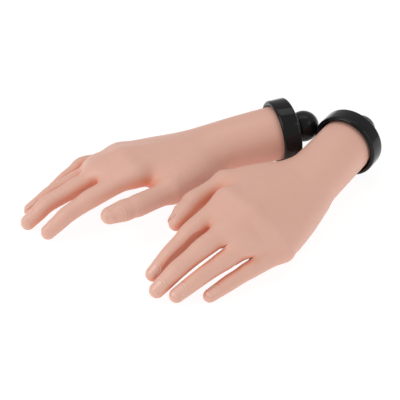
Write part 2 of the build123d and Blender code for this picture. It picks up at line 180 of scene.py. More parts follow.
class Hand:
    def __init__(self, side):
        self.side, self.sign = side, sides[side]
        self.turn, self.move = fittedFrame(side)
        self.joints = {}
        self.digitTubes = {}
        self.palm = []
        for name in digits:
            self.addDigit(name)
        for tube in palmTubes.values():
            self.palm.append(self.palmTube(tube))
        for pair, reaches in webs.items():
            self.palm.append(self.webTube(pair, reaches))

    # between metres in the frame and millimetres in the hand
    def local(self, point):
        return self.turn.T @ (np.asarray(point) / millimetre - self.move)

    def world(self, points):
        return ((self.turn @ np.asarray(points).T).T + self.move) * millimetre

    def addDigit(self, name):
        shape = digits[name]
        knuckle, axis, _ = jointOf(self.side, name, "knuckle")
        middle, _, limits = jointOf(self.side, name, "middle")
        knuckle, middle, axis = self.local(knuckle), self.local(middle), self.turn.T @ axis
        first = unit(middle - knuckle)
        second = turnedAbout(first, axis, shape["straight"] - limits[0])
        third = turnedAbout(second, axis, shape["endBend"])
        bend = middle + second * shape["reach"][1]
        tip = bend + third * shape["reach"][2]
        self.joints[name] = dict(knuckle=knuckle, middle=middle, bend=bend, tip=tip, axis=axis,
                                 first=first, third=third)
        radii = shape["radii"]
        joints = [knuckle, middle, bend, tip]
        stations, widths = [knuckle], [radii[0]]
        for i, midway in enumerate(digitForm["midway"]):
            stations += [(joints[i] + joints[i + 1]) / 2, joints[i + 1]]
            widths += [midway * (radii[i] + radii[i + 1]) / 2, radii[i + 1] * digitForm["atHinge"][i]]
        path = smoothPath(stations)
        wide = smoothPath(np.array(widths)[:, None] * np.ones(3))[:, 0]
        along = np.linspace(0, 1, len(path))
        up = wide * np.interp(along, digitForm["heightsAt"], digitForm["above"])
        down = wide * np.interp(along, digitForm["heightsAt"], digitForm["below"])
        tipCap = wide[-1] * digitForm["tipCap"]
        self.digitTubes[name] = makeTube(path, axis, wide, up, down, wide[0], tipCap)

    def palmTube(self, tube):
        stations = np.array(tube["stations"], float) * (1, self.sign, 1, 1, 1, 1)
        path = smoothPath(stations)
        return dict(makeTube(path[:, :3], crosswise, path[:, 3], path[:, 4], path[:, 5],
                             path[0, 3], path[-1, 3] * palmCap), blend=tube["blend"])

    def webTube(self, pair, reaches):
        a, b = (self.joints[n] for n in pair)
        count, caps, drop = webForm["stations"], webForm["caps"], webForm["drop"]
        start = (a["knuckle"] + b["knuckle"]) / 2
        reachA, reachB = (reach - caps[1] for reach in reaches)
        end = (a["knuckle"] + a["first"] * reachA + b["knuckle"] + b["first"] * reachB) / 2
        gap = np.linalg.norm(a["knuckle"] - b["knuckle"]) / 2
        path = np.linspace(start - (0, 0, drop[0]), end - (0, 0, drop[1]), count)
        wide = np.linspace(*(gap * np.array(webForm["wide"])), count)
        up, down = (np.linspace(*webForm[key], count) for key in ("above", "below"))
        return dict(makeTube(path, crosswise, wide, up, down, *caps), blend=webForm["blend"])

    def field(self, points):
        # roughly the distance to the skin, and negative inside it
        palm = np.full(len(points), skinGrid["outside"])
        for tube in self.palm:
            near, value = tubeField(points, tube, skinGrid["palmReach"])
            palm[near] = softMin(palm[near], value, tube["blend"])
        total = palm.copy()
        for tube in self.digitTubes.values():
            near, value = tubeField(points, tube, skinGrid["digitReach"])
            total[near] = np.minimum(total[near], softMin(palm[near], value, digitForm["blend"]))
        return total

    def gradient(self, points):
        h = skinGrid["step"]
        result = np.zeros_like(points)
        for corner in np.array([(1, -1, -1), (-1, -1, 1), (-1, 1, -1), (1, 1, 1)], float):
            result += self.field(points + h * corner)[:, None] * corner
        return result / (4 * h)


# tubes: a path with a half width and two heights at each point, and round ends
def makeTube(path, axis, wide, up, down, startCap, endCap):
    tangent = np.gradient(path, axis=0)
    tangent /= np.linalg.norm(tangent, axis=1)[:, None]
    side = axis - tangent * (tangent @ axis)[:, None]
    side /= np.linalg.norm(side, axis=1)[:, None]
    return dict(path=path, tangent=tangent, side=side, lift=np.cross(tangent, side),
                sizes=np.column_stack([wide, up, down]), caps=(startCap, endCap))


def nearestOnTube(points, tube):
    # the place on the path, as a number whose whole part is a span of it
    path = tube["path"]
    best = np.full(len(points), 1e9)
    place = np.zeros(len(points))
    for i in range(len(path) - 1):
        run = path[i + 1] - path[i]
        t = np.clip((points - path[i]) @ run / (run @ run), 0, 1)
        away = points - path[i] - t[:, None] * run
        distance = np.einsum("ij,ij->i", away, away)
        closer = distance < best
        best[closer] = distance[closer]
        place[closer] = (i + t)[closer]
    return place


def sampled(values, place):
    low = np.minimum(place.astype(int), len(values) - 2)
    t = (place - low)[:, None]
    return values[low] * (1 - t) + values[low + 1] * t


def tubeField(points, tube, margin):
    reach = margin + tube["sizes"].max()
    low, high = tube["path"].min(0) - reach, tube["path"].max(0) + reach
    near = np.flatnonzero(np.all((points > low) & (points < high), axis=1))
    p = points[near]
    place = nearestOnTube(p, tube)
    away = p - sampled(tube["path"], place)
    sizes = sampled(tube["sizes"], place)
    across = np.einsum("ij,ij->i", away, sampled(tube["side"], place)) / sizes[:, 0]
    lift = np.einsum("ij,ij->i", away, sampled(tube["lift"], place))
    lift /= np.where(lift > 0, sizes[:, 1], sizes[:, 2])
    cap = np.where(place * 2 < len(tube["path"]) - 1, tube["caps"][0], tube["caps"][1])
    ahead = np.einsum("ij,ij->i", away, sampled(tube["tangent"], place)) / cap
    q = np.sqrt(across ** 2 + lift ** 2 + ahead ** 2) + 1e-9
    return near, np.linalg.norm(away, axis=1) * (1 - 1 / q)


def softMin(a, b, k):
    # the lesser of two distances, with the crease between them filled over a width of k
    h = np.maximum(k - np.abs(a - b), 0) / k
    return np.minimum(a, b) - h * h * k / 4


# one closed surface per hand
def handSurface(hand):
    # the field is worked out once for each block, and at every voxel only where skin may be
    block, batch, margin = skinGrid["block"], skinGrid["batch"], skinGrid["margin"]
    voxel = skinGrid["voxel"] * 1
    tubes = hand.palm + list(hand.digitTubes.values())
    low = np.min([t["path"].min(0) - t["sizes"].max() for t in tubes], axis=0) - margin
    high = np.max([t["path"].max(0) + t["sizes"].max() for t in tubes], axis=0) + margin
    blocks = np.ceil((high - low) / (voxel * block)).astype(int)
    corners = np.stack(np.meshgrid(*[np.arange(n) * block for n in blocks], indexing="ij"), -1)
    corners = corners.reshape(-1, 3)
    far = hand.field(low + voxel * (corners + (block - 1) / 2))
    inside = np.stack(np.meshgrid(*[np.arange(block)] * 3, indexing="ij"), -1)
    values = np.empty((*blocks, block, block, block), np.float32)
    deep = 9.0  # stands for any distance in a block without skin
    values[:] = np.where(far > 0, deep, -deep).reshape(*blocks, 1, 1, 1)
    flat = values.reshape(-1, block ** 3)
    halfDiagonal = voxel * block * 0.87  # of a block
    close = np.flatnonzero(np.abs(far) < halfDiagonal + margin)
    for start in range(0, len(close), batch):
        some = close[start:start + batch]
        points = low + voxel * (corners[some][:, None] + inside.reshape(1, -1, 3))
        flat[some] = hand.field(points.reshape(-1, 3)).reshape(len(some), -1)
    values = values.transpose(0, 3, 1, 4, 2, 5).reshape(blocks * block)
    grid = openvdb.FloatGrid(skinGrid["outside"])
    grid.copyFromArray(values)
    points, _, quads = grid.convertToPolygons(isovalue=0.0, adaptivity=0.0)
    points = low + voxel * np.asarray(points, float)
    for _ in range(skinGrid["projections"]):  # the points move onto the exact surface
        slope = hand.gradient(points)
        points -= slope * (hand.field(points) / np.maximum((slope ** 2).sum(1), 0.05))[:, None]
    quads = np.asarray(quads, int)
    a, b, c, d = (points[quads[:, i]] for i in range(4))
    outward = np.einsum("ij,ij->i", np.cross(c - a, d - b), hand.gradient((a + b + c + d) / 4)).mean()
    if outward < 0:
        quads = quads[:, ::-1]
    print(f"{hand.side} skin surface: {len(points)} points, {len(quads)} quads")
    return points, quads


# the surface cut into pieces, each closed with flat walls inside the flesh

# point and normal: the plane that parts the fingers from the palm. thumbAhead: how far past its
# knuckle the thumb is cut, and thumbLean how much that cut leans from the index finger. blend and
# thumbBlend: how far past the cut the skin gives with the palm
fingerCut = dict(point=(86.5, 23, 0), normal=(1, -0.125, 0), thumbAhead=8.8, thumbLean=0.7, blend=17.0,
                 thumbBlend=9.5)
chainStart, chainPoints = 5.0, 40  # of the points down a digit: their start past the knuckle, and how many
weld = 1e-4  # a corner nearer than this to a cut counts as lying on it


def meshOf(points, quads):
    mesh = bmesh.new()
    verts = [mesh.verts.new(p) for p in points]
    for quad in quads:
        mesh.faces.new([verts[i] for i in quad])
    return mesh


def fillWalls(mesh):
    rim = [e for e in mesh.edges if e.is_boundary]
    made = bmesh.ops.holes_fill(mesh, edges=rim, sides=0)["faces"]
    for face in made:
        face.material_index = 1  # marks a wall, which is shaded flat
    bmesh.ops.triangulate(mesh, faces=made)


def everythingIn(mesh):
    return mesh.verts[:] + mesh.edges[:] + mesh.faces[:]


def keepBeyond(mesh, point, normal):
    # keeps what lies on the normal's side of a plane, and closes the cut
    bmesh.ops.bisect_plane(mesh, geom=everythingIn(mesh), dist=weld, plane_co=Vector(point),
                           plane_no=Vector(normal), clear_inner=True)
    fillWalls(mesh)


def dropBeyond(mesh, point, normal, seed):
    # takes off the part beyond a plane that holds the seed, and nothing else
    point, normal, seed = Vector(point), Vector(normal), Vector(seed)
    bmesh.ops.bisect_plane(mesh, geom=everythingIn(mesh), dist=weld, plane_co=point, plane_no=normal)
    centres = {f: f.calc_center_median() for f in mesh.faces}
    beyond = {f for f, c in centres.items() if (c - point).dot(normal) > 0}
    start = min(beyond, key=lambda f: (centres[f] - seed).length_squared)
    patch, front = {start}, [start]
    while front:
        for edge in front.pop().edges:
            for face in edge.link_faces:
                if face in beyond and face not in patch:
                    patch.add(face)
                    front.append(face)
    bmesh.ops.delete(mesh, geom=list(patch), context="FACES")
    fillWalls(mesh)


def keepIsland(mesh, seed):
    # keeps the loose part nearest the seed
    mesh.verts.ensure_lookup_table()
    seed = Vector(seed)
    start = min(mesh.verts, key=lambda v: (v.co - seed).length_squared)
    island, front = {start}, [start]
    while front:
        for edge in front.pop().link_edges:
            for vert in edge.verts:
                if vert not in island:
                    island.add(vert)
                    front.append(vert)
    bmesh.ops.delete(mesh, geom=[v for v in mesh.verts if v not in island], context="VERTS")


def fingerPlane(hand):
    point, normal = np.array(fingerCut["point"]), np.array(fingerCut["normal"])
    return point * (1, hand.sign, 1), unit(normal * (1, hand.sign, 1))


def thumbPlane(hand):
    # leans away from the index finger, so that it meets the thumb alone
    thumb = hand.joints["thumb"]
    outward = np.array((0, np.sign(thumb["knuckle"][1]), 0))
    return (thumb["knuckle"] + thumb["first"] * fingerCut["thumbAhead"],
            unit(thumb["first"] + outward * fingerCut["thumbLean"]))


def betweenPlane(hand, name, other):
    # plane that runs midway between two fingers, facing the first one
    a, b = hand.joints[name], hand.joints[other]
    reach = min(digits[name]["cut"], digits[other]["cut"])
    farA, farB = (joint["knuckle"] + joint["first"] * reach for joint in (a, b))
    along = unit(farA + farB - a["knuckle"] - b["knuckle"])
    apart = unit(a["knuckle"] - b["knuckle"]) + unit(farA - farB)
    return (a["knuckle"] + b["knuckle"]) / 2, unit(apart - along * (apart @ along))


def middlePlane(hand, name):
    joint = hand.joints[name]
    return joint["knuckle"] + joint["first"] * digits[name]["cut"], joint["first"]


def palmPiece(hand, whole):
    mesh = whole.copy()
    dropBeyond(mesh, *fingerPlane(hand), hand.joints["index"]["tip"])
    dropBeyond(mesh, *thumbPlane(hand), hand.joints["thumb"]["tip"])
    axis = forearmAxis(hand)
    keepBeyond(mesh, axis * (collarShape["back"] + collarShape["seatDepth"]), axis)
    return mesh


def lowerPiece(hand, whole, name):
    mesh = whole.copy()
    if name == "thumb":
        keepBeyond(mesh, *thumbPlane(hand))
    else:
        keepBeyond(mesh, *fingerPlane(hand))
        for other in besides(name):
            keepBeyond(mesh, *betweenPlane(hand, name, other))
    point, normal = middlePlane(hand, name)
    keepBeyond(mesh, point, -normal)
    back = np.cross(normal, hand.joints[name]["axis"]) * digits[name]["radii"][1]
    keepIsland(mesh, point - normal * 2 + back)  # on the digit's back, just short of the cut
    return mesh


def chainOf(hand, name, start):
    # points down the middle of a digit, and its half width at each
    joint, shape = hand.joints[name], digits[name]
    knots = [joint["knuckle"] + joint["first"] * start, joint["middle"], joint["bend"], joint["tip"]]
    share = np.linspace(0, 3, chainPoints)
    points = np.column_stack([np.interp(share, range(4), np.array(knots)[:, i]) for i in range(3)])
    return points, np.interp(share, range(4), shape["radii"])


def apartPlane(hand, name, other):
    # plane between a fingertip and the whole finger beside it
    a, wide = chainOf(hand, name, digits[name]["cut"])
    b, otherWide = chainOf(hand, other, chainStart)
    nearest = b[np.linalg.norm(a[:, None] - b[None], axis=2).argmin(1)]
    normal = unit((a - nearest).mean(0))
    offset = ((a @ normal - wide).min() + (b @ normal + otherWide).max()) / 2
    return normal * offset, normal


def besides(name):
    # the fingers next to this one; the thumb has none
    if name not in fingerOrder:
        return []
    place = fingerOrder.index(name)
    return [other for other in fingerOrder if abs(fingerOrder.index(other) - place) == 1]


def tipPiece(hand, whole, name):
    mesh = whole.copy()
    keepBeyond(mesh, *middlePlane(hand, name))
    for other in besides(name):
        keepBeyond(mesh, *apartPlane(hand, name, other))
    keepIsland(mesh, hand.joints[name]["tip"])
    return mesh


# reaches: how far off the skin other flesh is felt for, each with its share of the painted shade and glow.
# under: the share of painted shade and glow given to what faces the table
paintedShadeShares = dict(reaches=((3, 0.25), (7, 0.4), (13, 0.35)), under=0.6)


def paintedShadeAndGlowAt(hand, points, normals):
    # painted shade and glow: how closed in a place is, between the fingers and under the palm, and how far
    # it faces the table
    paintedShadeAndGlow = np.zeros(len(points))
    for reach, share in paintedShadeShares["reaches"]:
        paintedShadeAndGlow += share * np.clip(1 - hand.field(points + normals * reach) / reach, 0, 1)
    under = np.clip(-(hand.turn @ normals.T)[2], 0, 1)
    return np.clip(paintedShadeAndGlow + paintedShadeShares["under"] * under, 0, 1)


def skinObject(hand, mesh, name):
    # the skin is shaded by the slope of the field, so that the pieces meet without a seam
    bmesh.ops.recalc_face_normals(mesh, faces=mesh.faces[:])
    data = bpy.data.meshes.new(name)
    mesh.to_mesh(data)
    mesh.free()
    count = len(data.vertices)
    points = np.empty(count * 3)
    data.vertices.foreach_get("co", points)
    points = points.reshape(-1, 3)
    slope = hand.gradient(points)
    normals = slope / np.maximum(np.linalg.norm(slope, axis=1), 1e-6)[:, None]
    # painted shade and glow at each point, which the skin material paints as deeper, warmer tones
    paintedShadeAndGlow = data.attributes.new("paintedShadeAndGlow", "FLOAT", "POINT")
    paintedShadeAndGlow.data.foreach_set("value", paintedShadeAndGlowAt(hand, points, normals).astype(np.float32))
    data.vertices.foreach_set("co", hand.world(points).ravel())
    data.polygons.foreach_set("use_smooth", np.ones(len(data.polygons), bool))
    data.update()
    walls = np.empty(len(data.polygons), int)
    data.polygons.foreach_get("material_index", walls)
    flat = np.empty(len(data.polygons) * 3)
    data.polygons.foreach_get("normal", flat)
    corners = np.empty(len(data.polygons), int)
    data.polygons.foreach_get("loop_total", corners)
    owner = np.repeat(np.arange(len(corners)), corners)
    ends = np.empty(len(data.loops), int)
    data.loops.foreach_get("vertex_index", ends)
    shaded = (hand.turn @ normals.T).T[ends]
    isWall = walls[owner] == 1
    shaded[isWall] = flat.reshape(-1, 3)[owner[isWall]]
    data.normals_split_custom_set(shaded.tolist())
    return addObject(name, data)


def addObject(name, data):
    piece = bpy.data.objects.new(name, data)
    bpy.context.scene.collection.objects.link(piece)
    return piece


# nails: plates that follow the fingertip, and the fold of skin round them

# proud: how far the plate stands off the skin. cover: its least room over the bed. sunk: its
# thickness. edgeDip and edgeWidth: how far its sides dip, and over what share of the half width.
# ahead: how far it runs past the tip's centre, as a share of the tip's half width. runOn: how far
# past that centre it still follows the skin, before it runs on straight and falls by droop.
# wrap: how much flatter than the tip it is. rootSquare and frontSquare: how square its two ends
# are. frontArc: how round its front edge is
nailShape = dict(proud=0.34, cover=0.05, sunk=0.5, edgeDip=0.57, edgeWidth=0.22, ahead=0.47, runOn=0.5,
                 droop=0.30, wrap=1.05, rootSquare=0.12, frontSquare=0.5, frontArc=0.5, columns=25, rows=33)
# the roll of skin at the root and sides. thick: its radius. start and end: its turn round the
# plate, in degrees. across and along: the less, the squarer. outside and longer: how far it lies
# beyond the plate's sides and root. taperFrom: how far its ends thin out
foldShape = dict(thick=0.42, start=-20, end=200, points=57, across=0.62, along=0.75, outside=0.12,
                 longer=1.03, taperFrom=0.12, around=10)
# the search for the skin along a ray. above: how far outside the tip's half width it starts.
# probe: over what distance a slope is taken. stride: its longest step
skinSearch = dict(above=3, steps=8, probe=0.05, slopes=(-3, -0.2), stride=1.5)


def onSkin(hand, start, ray):
    # the place where a ray meets the skin
    probe, stride = skinSearch["probe"], skinSearch["stride"]
    p = start.copy()
    for _ in range(skinSearch["steps"]):
        value = hand.field(p)
        ahead = hand.field(p + ray * probe)
        slope = np.clip((ahead - value) / probe, *skinSearch["slopes"])
        p = p - ray * np.clip(value / slope, -stride, stride)[:, None]
    return p


class NailBed:
    # places points on the back of one fingertip by their distance along and across it
    def __init__(self, hand, name):
        joint, shape = hand.joints[name], digits[name]
        self.hand, self.joint, self.shape = hand, joint, shape
        self.lift = np.cross(joint["third"], joint["axis"])
        self.front = shape["reach"][2] + shape["radii"][3] * nailShape["ahead"]
        self.roundFrom = shape["reach"][2] + nailShape["runOn"]

    def place(self, along, across, height):
        joint, radius = self.joint, self.shape["radii"][3]
        angle = across / (radius * nailShape["wrap"])
        ray = np.cos(angle)[:, None] * self.lift + np.sin(angle)[:, None] * joint["axis"]
        held = np.minimum(along, self.roundFrom)
        centre = joint["bend"] + held[:, None] * joint["third"]
        skin = onSkin(self.hand, centre + ray * (radius + skinSearch["above"]), -ray)
        above = np.einsum("ij,ij->i", skin - centre, ray)
        least = self.shape["bed"] + nailShape["cover"]
        skin = skin + (np.maximum(above, least) - above)[:, None] * ray
        past = along - held
        skin = skin + past[:, None] * joint["third"] - (nailShape["droop"] * past)[:, None] * self.lift
        return skin + ray * height[:, None]


def squircle(a, b, squareness):
    # the square -1..1 bent into a rounded one
    k = 1 - squareness
    return a * np.sqrt(1 - k * b * b / 2), b * np.sqrt(1 - k * a * a / 2)


def nailPiece(hand, name, material):
    bed = NailBed(hand, name)
    length, width = digits[name]["nail"]
    shape = nailShape
    columns, rows = shape["columns"], shape["rows"]
    a, b = np.meshgrid(np.linspace(-1, 1, columns), np.linspace(-1, 1, rows), indexing="ij")
    a, b = a.ravel(), b.ravel()
    across, along = squircle(a, b, np.where(b < 0, shape["rootSquare"], shape["frontSquare"]))
    sides = np.maximum(np.abs(a), np.maximum(-b, 0))
    dip = np.clip((sides - (1 - shape["edgeWidth"])) / shape["edgeWidth"], 0, 1) ** 2
    top = shape["proud"] - shape["edgeDip"] * dip
    x = bed.front - length * (1 - along) / 2 - shape["frontArc"] * across ** 2 * (b > 0) * b
    upper = bed.place(x, across * width / 2, top)
    lower = bed.place(x, across * width / 2, top - shape["sunk"])
    points = np.vstack([upper, lower])
    index = np.arange(columns * rows).reshape(columns, rows)
    faces = [(index[i, j], index[i + 1, j], index[i + 1, j + 1], index[i, j + 1])
             for i in range(columns - 1) for j in range(rows - 1)]
    faces += [tuple(reversed([v + columns * rows for v in face])) for face in faces]
    rim = np.concatenate([index[:-1, 0], index[-1, :-1], index[:0:-1, -1], index[0, :0:-1]])
    under = rim + columns * rows
    faces += list(zip(rim, under, np.roll(under, -1), np.roll(rim, -1)))
    return closedPiece(f"{hand.side}_{name}_nail_plate", hand.world(points), faces, material)


def foldPiece(hand, name, material):
    bed = NailBed(hand, name)
    length, width = digits[name]["nail"]
    shape = foldShape
    turn = np.linspace(math.radians(shape["start"]), math.radians(shape["end"]), shape["points"])
    a = np.sign(np.cos(turn)) * np.abs(np.cos(turn)) ** shape["across"]
    b = np.sign(-np.sin(turn)) * np.abs(np.sin(turn)) ** shape["along"]
    x = bed.front - length * (1 - b * shape["longer"]) / 2
    path = bed.place(x, a * (width / 2 + shape["outside"]), np.zeros(len(x)))
    taper = np.sin(np.linspace(shape["taperFrom"], math.pi - shape["taperFrom"], len(x))) ** 0.5
    radii = shape["thick"] * taper * millimetre
    return tubePiece(f"{hand.side}_{name}_nail_fold", hand.world(path), radii, material)


def tubePiece(name, path, radii, material):
    around = foldShape["around"]
    tangent = np.gradient(path, axis=0)
    tangent /= np.linalg.norm(tangent, axis=1)[:, None]
    side = np.cross(tangent, path.mean(0) - path)
    side /= np.linalg.norm(side, axis=1)[:, None]
    lift = np.cross(tangent, side)
    turn = np.linspace(0, 2 * math.pi, around, endpoint=False)
    rings = path[:, None] + radii[:, None, None] * (np.cos(turn)[None, :, None] * side[:, None]
                                                    + np.sin(turn)[None, :, None] * lift[:, None])
    index = np.arange(len(path) * around).reshape(len(path), around)
    faces = [(index[i, j], index[i, (j + 1) % around], index[i + 1, (j + 1) % around], index[i + 1, j])
             for i in range(len(path) - 1) for j in range(around)]
    faces += [tuple(index[0, ::-1]), tuple(index[-1])]
    return closedPiece(name, rings.reshape(-1, 3), faces, material)


def closedPiece(name, points, faces, material):
    data = bpy.data.meshes.new(name)
    data.from_pydata(points.tolist(), [], [[int(v) for v in face] for face in faces])
    mesh = bmesh.new()
    mesh.from_mesh(data)
    bmesh.ops.recalc_face_normals(mesh, faces=mesh.faces[:])
    mesh.to_mesh(data)
    mesh.free()
    data.polygons.foreach_set("use_smooth", np.ones(len(data.polygons), bool))
    data.materials.append(material)
    return addObject(name, data)


# shader helpers
class Socket:
    def __init__(self, look, socket):
        self.look, self.socket = look, socket

    def combine(self, operation, a, b):
        return self.look.node("Math", {"operation": operation}, {0: a, 1: b})[0]

    def __add__(self, other):
        return self.combine("ADD", self, other)

    def __sub__(self, other):
        return self.combine("SUBTRACT", self, other)

    def __rsub__(self, other):
        return self.combine("SUBTRACT", other, self)

    def __mul__(self, other):
        return self.combine("MULTIPLY", self, other)

    __radd__ = __add__
    __rmul__ = __mul__

    def limited(self):
        return self.look.node("Clamp", {}, {0: self})[0]


class Look:
    # a material with a Principled shader, and nodes made by name
    def __init__(self, name, **settings):
        self.material = bpy.data.materials.new(name)
        self.material.use_nodes = True
        self.tree = self.material.node_tree
        self.shader = self.tree.nodes["Principled BSDF"]
        self.set(self.shader, {key.replace("_", " "): value for key, value in settings.items()})

    def set(self, node, inputs):
        for key, value in inputs.items():
            if isinstance(value, Socket):
                self.tree.links.new(value.socket, node.inputs[key])
            elif isinstance(value, tuple) and len(value) == 3 and node.inputs[key].type == "RGBA":
                node.inputs[key].default_value = (*value, 1.0)
            else:
                node.inputs[key].default_value = value

    def node(self, kind, settings, inputs):
        made = self.tree.nodes.new(f"ShaderNode{kind}")
        for key, value in settings.items():
            setattr(made, key, value)
        self.set(made, inputs)
        return [Socket(self, output) for output in made.outputs]

    def place(self):
        return self.node("TexCoord", {}, {})[3]

    def noise(self, scale, detail=3.0, roughness=0.5):
        return self.node("TexNoise", {}, {"Vector": self.place(), "Scale": scale, "Detail": detail,
                                          "Roughness": roughness})[0]

    def attribute(self, name):
        return self.node("Attribute", {"attribute_name": name}, {})[2]

    def mixed(self, factor, a, b):
        return self.node("Mix", {"data_type": "RGBA"}, {0: factor, 6: a, 7: b})[2]

    def stepped(self, value, low, high):
        return self.node("MapRange", {}, {0: value, 1: low, 2: high})[0]

    def bump(self, height, strength, distance, normal=None):
        inputs = {"Height": height, "Strength": strength, "Distance": distance}
        if normal:
            inputs["Normal"] = normal
        return self.node("Bump", {}, inputs)[0]

    def wear(self, **inputs):
        self.set(self.shader, {key.replace("_", " "): value for key, value in inputs.items()})
        return self.material


# finishes
# pale is the open skin's own tone; the two others are painted shade and glow, laid where the skin is closed
# in or faces the table, the middle one also in random blotches
skinLook = dict(pale=(0.660, 0.385, 0.305), mid=(0.690, 0.355, 0.262), paintedShadeTone=(0.735, 0.290, 0.185),
                roughness=0.46)
nailLook = dict(plate=(0.655, 0.375, 0.300), milky=(1.06, 1.1, 1.12), fold=(0.76, 0.52, 0.43),
                roughness=0.26)
steelLook = dict(dark=(0.50, 0.50, 0.51), bright=(0.62, 0.62, 0.63), roughness=0.22)
plasticShine = 0.18
plasticLooks = {
    "collar": dict(name="gloss black plastic", colour=(0.004, 0.004, 0.0045), roughness=0.09, coat=0.08),
    "base": dict(name="satin black plastic", colour=(0.006, 0.006, 0.0065), roughness=0.24, coat=0.04),
    "nylon": dict(name="natural nylon", colour=(0.62, 0.60, 0.54), roughness=0.45, coat=0.0),
}


def skinMaterial(name, pale, mid, paintedShadeTone):
    # painted shade and glow: pale where the skin is open, and deeper, warmer tones that stand in for shade
    # and for light through the skin where it is closed in or faces the table; with blotches and pores
    look = Look(name, Specular_IOR_Level=0.42)
    paintedShadeAndGlow = look.attribute("paintedShadeAndGlow")
    blotches = look.noise(38.0, 4.0, 0.6)
    mottle = look.noise(210.0, 3.0, 0.55)
    # painted shade and glow: where the skin is closed in or faces the table the colour steps to the deeper,
    # warmer tones
    first = look.stepped(paintedShadeAndGlow + (blotches - 0.5) * 0.35, 0.0, 0.45)
    second = look.stepped(paintedShadeAndGlow + (mottle - 0.5) * 0.1, 0.30, 0.95)
    colour = look.mixed(second, look.mixed(first, pale, mid), paintedShadeTone)
    colour = look.mixed((mottle * 0.10).limited(), colour, tuple(c * 0.72 for c in mid))
    pores = look.node("TexVoronoi", {}, {"Vector": look.place(), "Scale": 780.0})[0]
    grain = look.noise(1500.0, 2.0, 0.5)
    fine = look.bump(pores * 0.7 + grain * 0.3, 0.10, 0.00012)
    soft = look.bump(look.noise(120.0, 3.0, 0.5), 0.10, 0.0008, fine)
    rough = skinLook["roughness"] + (mottle - 0.5) * 0.14
    return look.wear(Base_Color=colour, Roughness=rough, Normal=soft)


def nailMaterial():
    look = Look("nail plate", Specular_IOR_Level=0.5, Coat_Weight=0.25, Coat_Roughness=0.22)
    grooves = look.noise(420.0, 3.0, 0.5)
    cloudy = look.noise(160.0, 3.0, 0.6)
    plate = nailLook["plate"]
    colour = look.mixed(cloudy, plate, tuple(c * d for c, d in zip(plate, nailLook["milky"])))
    return look.wear(Base_Color=colour, Roughness=nailLook["roughness"] + cloudy * 0.12,
                     Normal=look.bump(grooves, 0.08, 0.0002))


def plasticMaterial(name, colour, roughness, coat):
    look = Look(name, Coat_Weight=coat, Coat_Roughness=0.06, Specular_IOR_Level=plasticShine)
    cloud = look.noise(70.0, 4.0, 0.6)
    speck = look.noise(900.0, 2.0, 0.5)
    tone = look.mixed(cloud, colour, tuple(c * 1.5 + 0.002 for c in colour))
    return look.wear(Base_Color=tone, Roughness=roughness + cloud * 0.10 - 0.04,
                     Normal=look.bump(speck * 0.4 + cloud, 0.03, 0.0002))


def steelMaterial():
    look = Look("brushed steel", Metallic=1.0)
    brushed = look.noise(800.0, 3.0, 0.6)
    colour = look.mixed(brushed, steelLook["dark"], steelLook["bright"])
    return look.wear(Base_Color=colour, Roughness=steelLook["roughness"] + brushed * 0.2,
                     Normal=look.bump(brushed, 0.06, 0.0001))


# collars: a rounded section swept round the forearm with geometry nodes

# inner and outer: the ring's two radii. front and back: its ends along the forearm. lip and
# mouth: the rounding outside and inside. seat and seatDepth: the step at its back that takes the
# base. segments and arc: points round the ring and in each rounding
collarShape = dict(inner=23.5, outer=28.5, front=-54.0, back=-70.0, lip=2.3, mouth=1.2, seat=25.7,
                   seatDepth=4.0, segments=192, arc=10)


def rounded(centre, radius, start, end):
    # an arc from one angle to another, in degrees
    turn = np.radians(np.linspace(start, end, collarShape["arc"]))
    return [(centre[0] + radius * math.cos(t), centre[1] + radius * math.sin(t)) for t in turn]


def collarSection():
    c = collarShape
    inner, outer, front, back, lip, mouth = (c[key] for key in
                                             ("inner", "outer", "front", "back", "lip", "mouth"))
    section = rounded((outer - lip, front - lip), lip, 0, 90)
    section += rounded((inner + mouth, front - mouth), mouth, 90, 180)
    section += [(inner, back + c["seatDepth"]), (c["seat"], back + c["seatDepth"]), (c["seat"], back)]
    section += rounded((outer - lip, back + lip), lip, 270, 360)
    return section


def sweepTree():
    tree = bpy.data.node_groups.new("swept ring", "GeometryNodeTree")
    for name, kind in (("Section", "NodeSocketGeometry"), ("Radius", "NodeSocketFloat"),
                       ("Segments", "NodeSocketInt"), ("Finish", "NodeSocketMaterial")):
        tree.interface.new_socket(name, in_out="INPUT", socket_type=kind)
    tree.interface.new_socket("Ring", in_out="OUTPUT", socket_type="NodeSocketGeometry")
    node = tree.nodes.new
    given, result = node("NodeGroupInput"), node("NodeGroupOutput")
    circle, section = node("GeometryNodeCurvePrimitiveCircle"), node("GeometryNodeMeshToCurve")
    sweep, smooth = node("GeometryNodeCurveToMesh"), node("GeometryNodeSetShadeSmooth")
    whole, finish = node("GeometryNodeRealizeInstances"), node("GeometryNodeSetMaterial")
    for a, out, b, into in ((given, "Radius", circle, "Radius"), (given, "Segments", circle, "Resolution"),
                            (given, "Section", section, "Mesh"), (circle, "Curve", sweep, "Curve"),
                            (section, "Curve", sweep, "Profile Curve"), (sweep, "Mesh", smooth, "Geometry"),
                            (smooth, "Geometry", whole, "Geometry"), (whole, "Geometry", finish, "Geometry"),
                            (given, "Finish", finish, "Material"), (finish, "Geometry", result, "Ring")):
        tree.links.new(a.outputs[out], b.inputs[into])
    return tree


def applied(piece):
    # the piece with its modifier made into a plain mesh
    shown = piece.evaluated_get(bpy.context.evaluated_depsgraph_get())
    data = bpy.data.meshes.new_from_object(shown)
    piece.modifiers.clear()
    piece.data = data
    return data


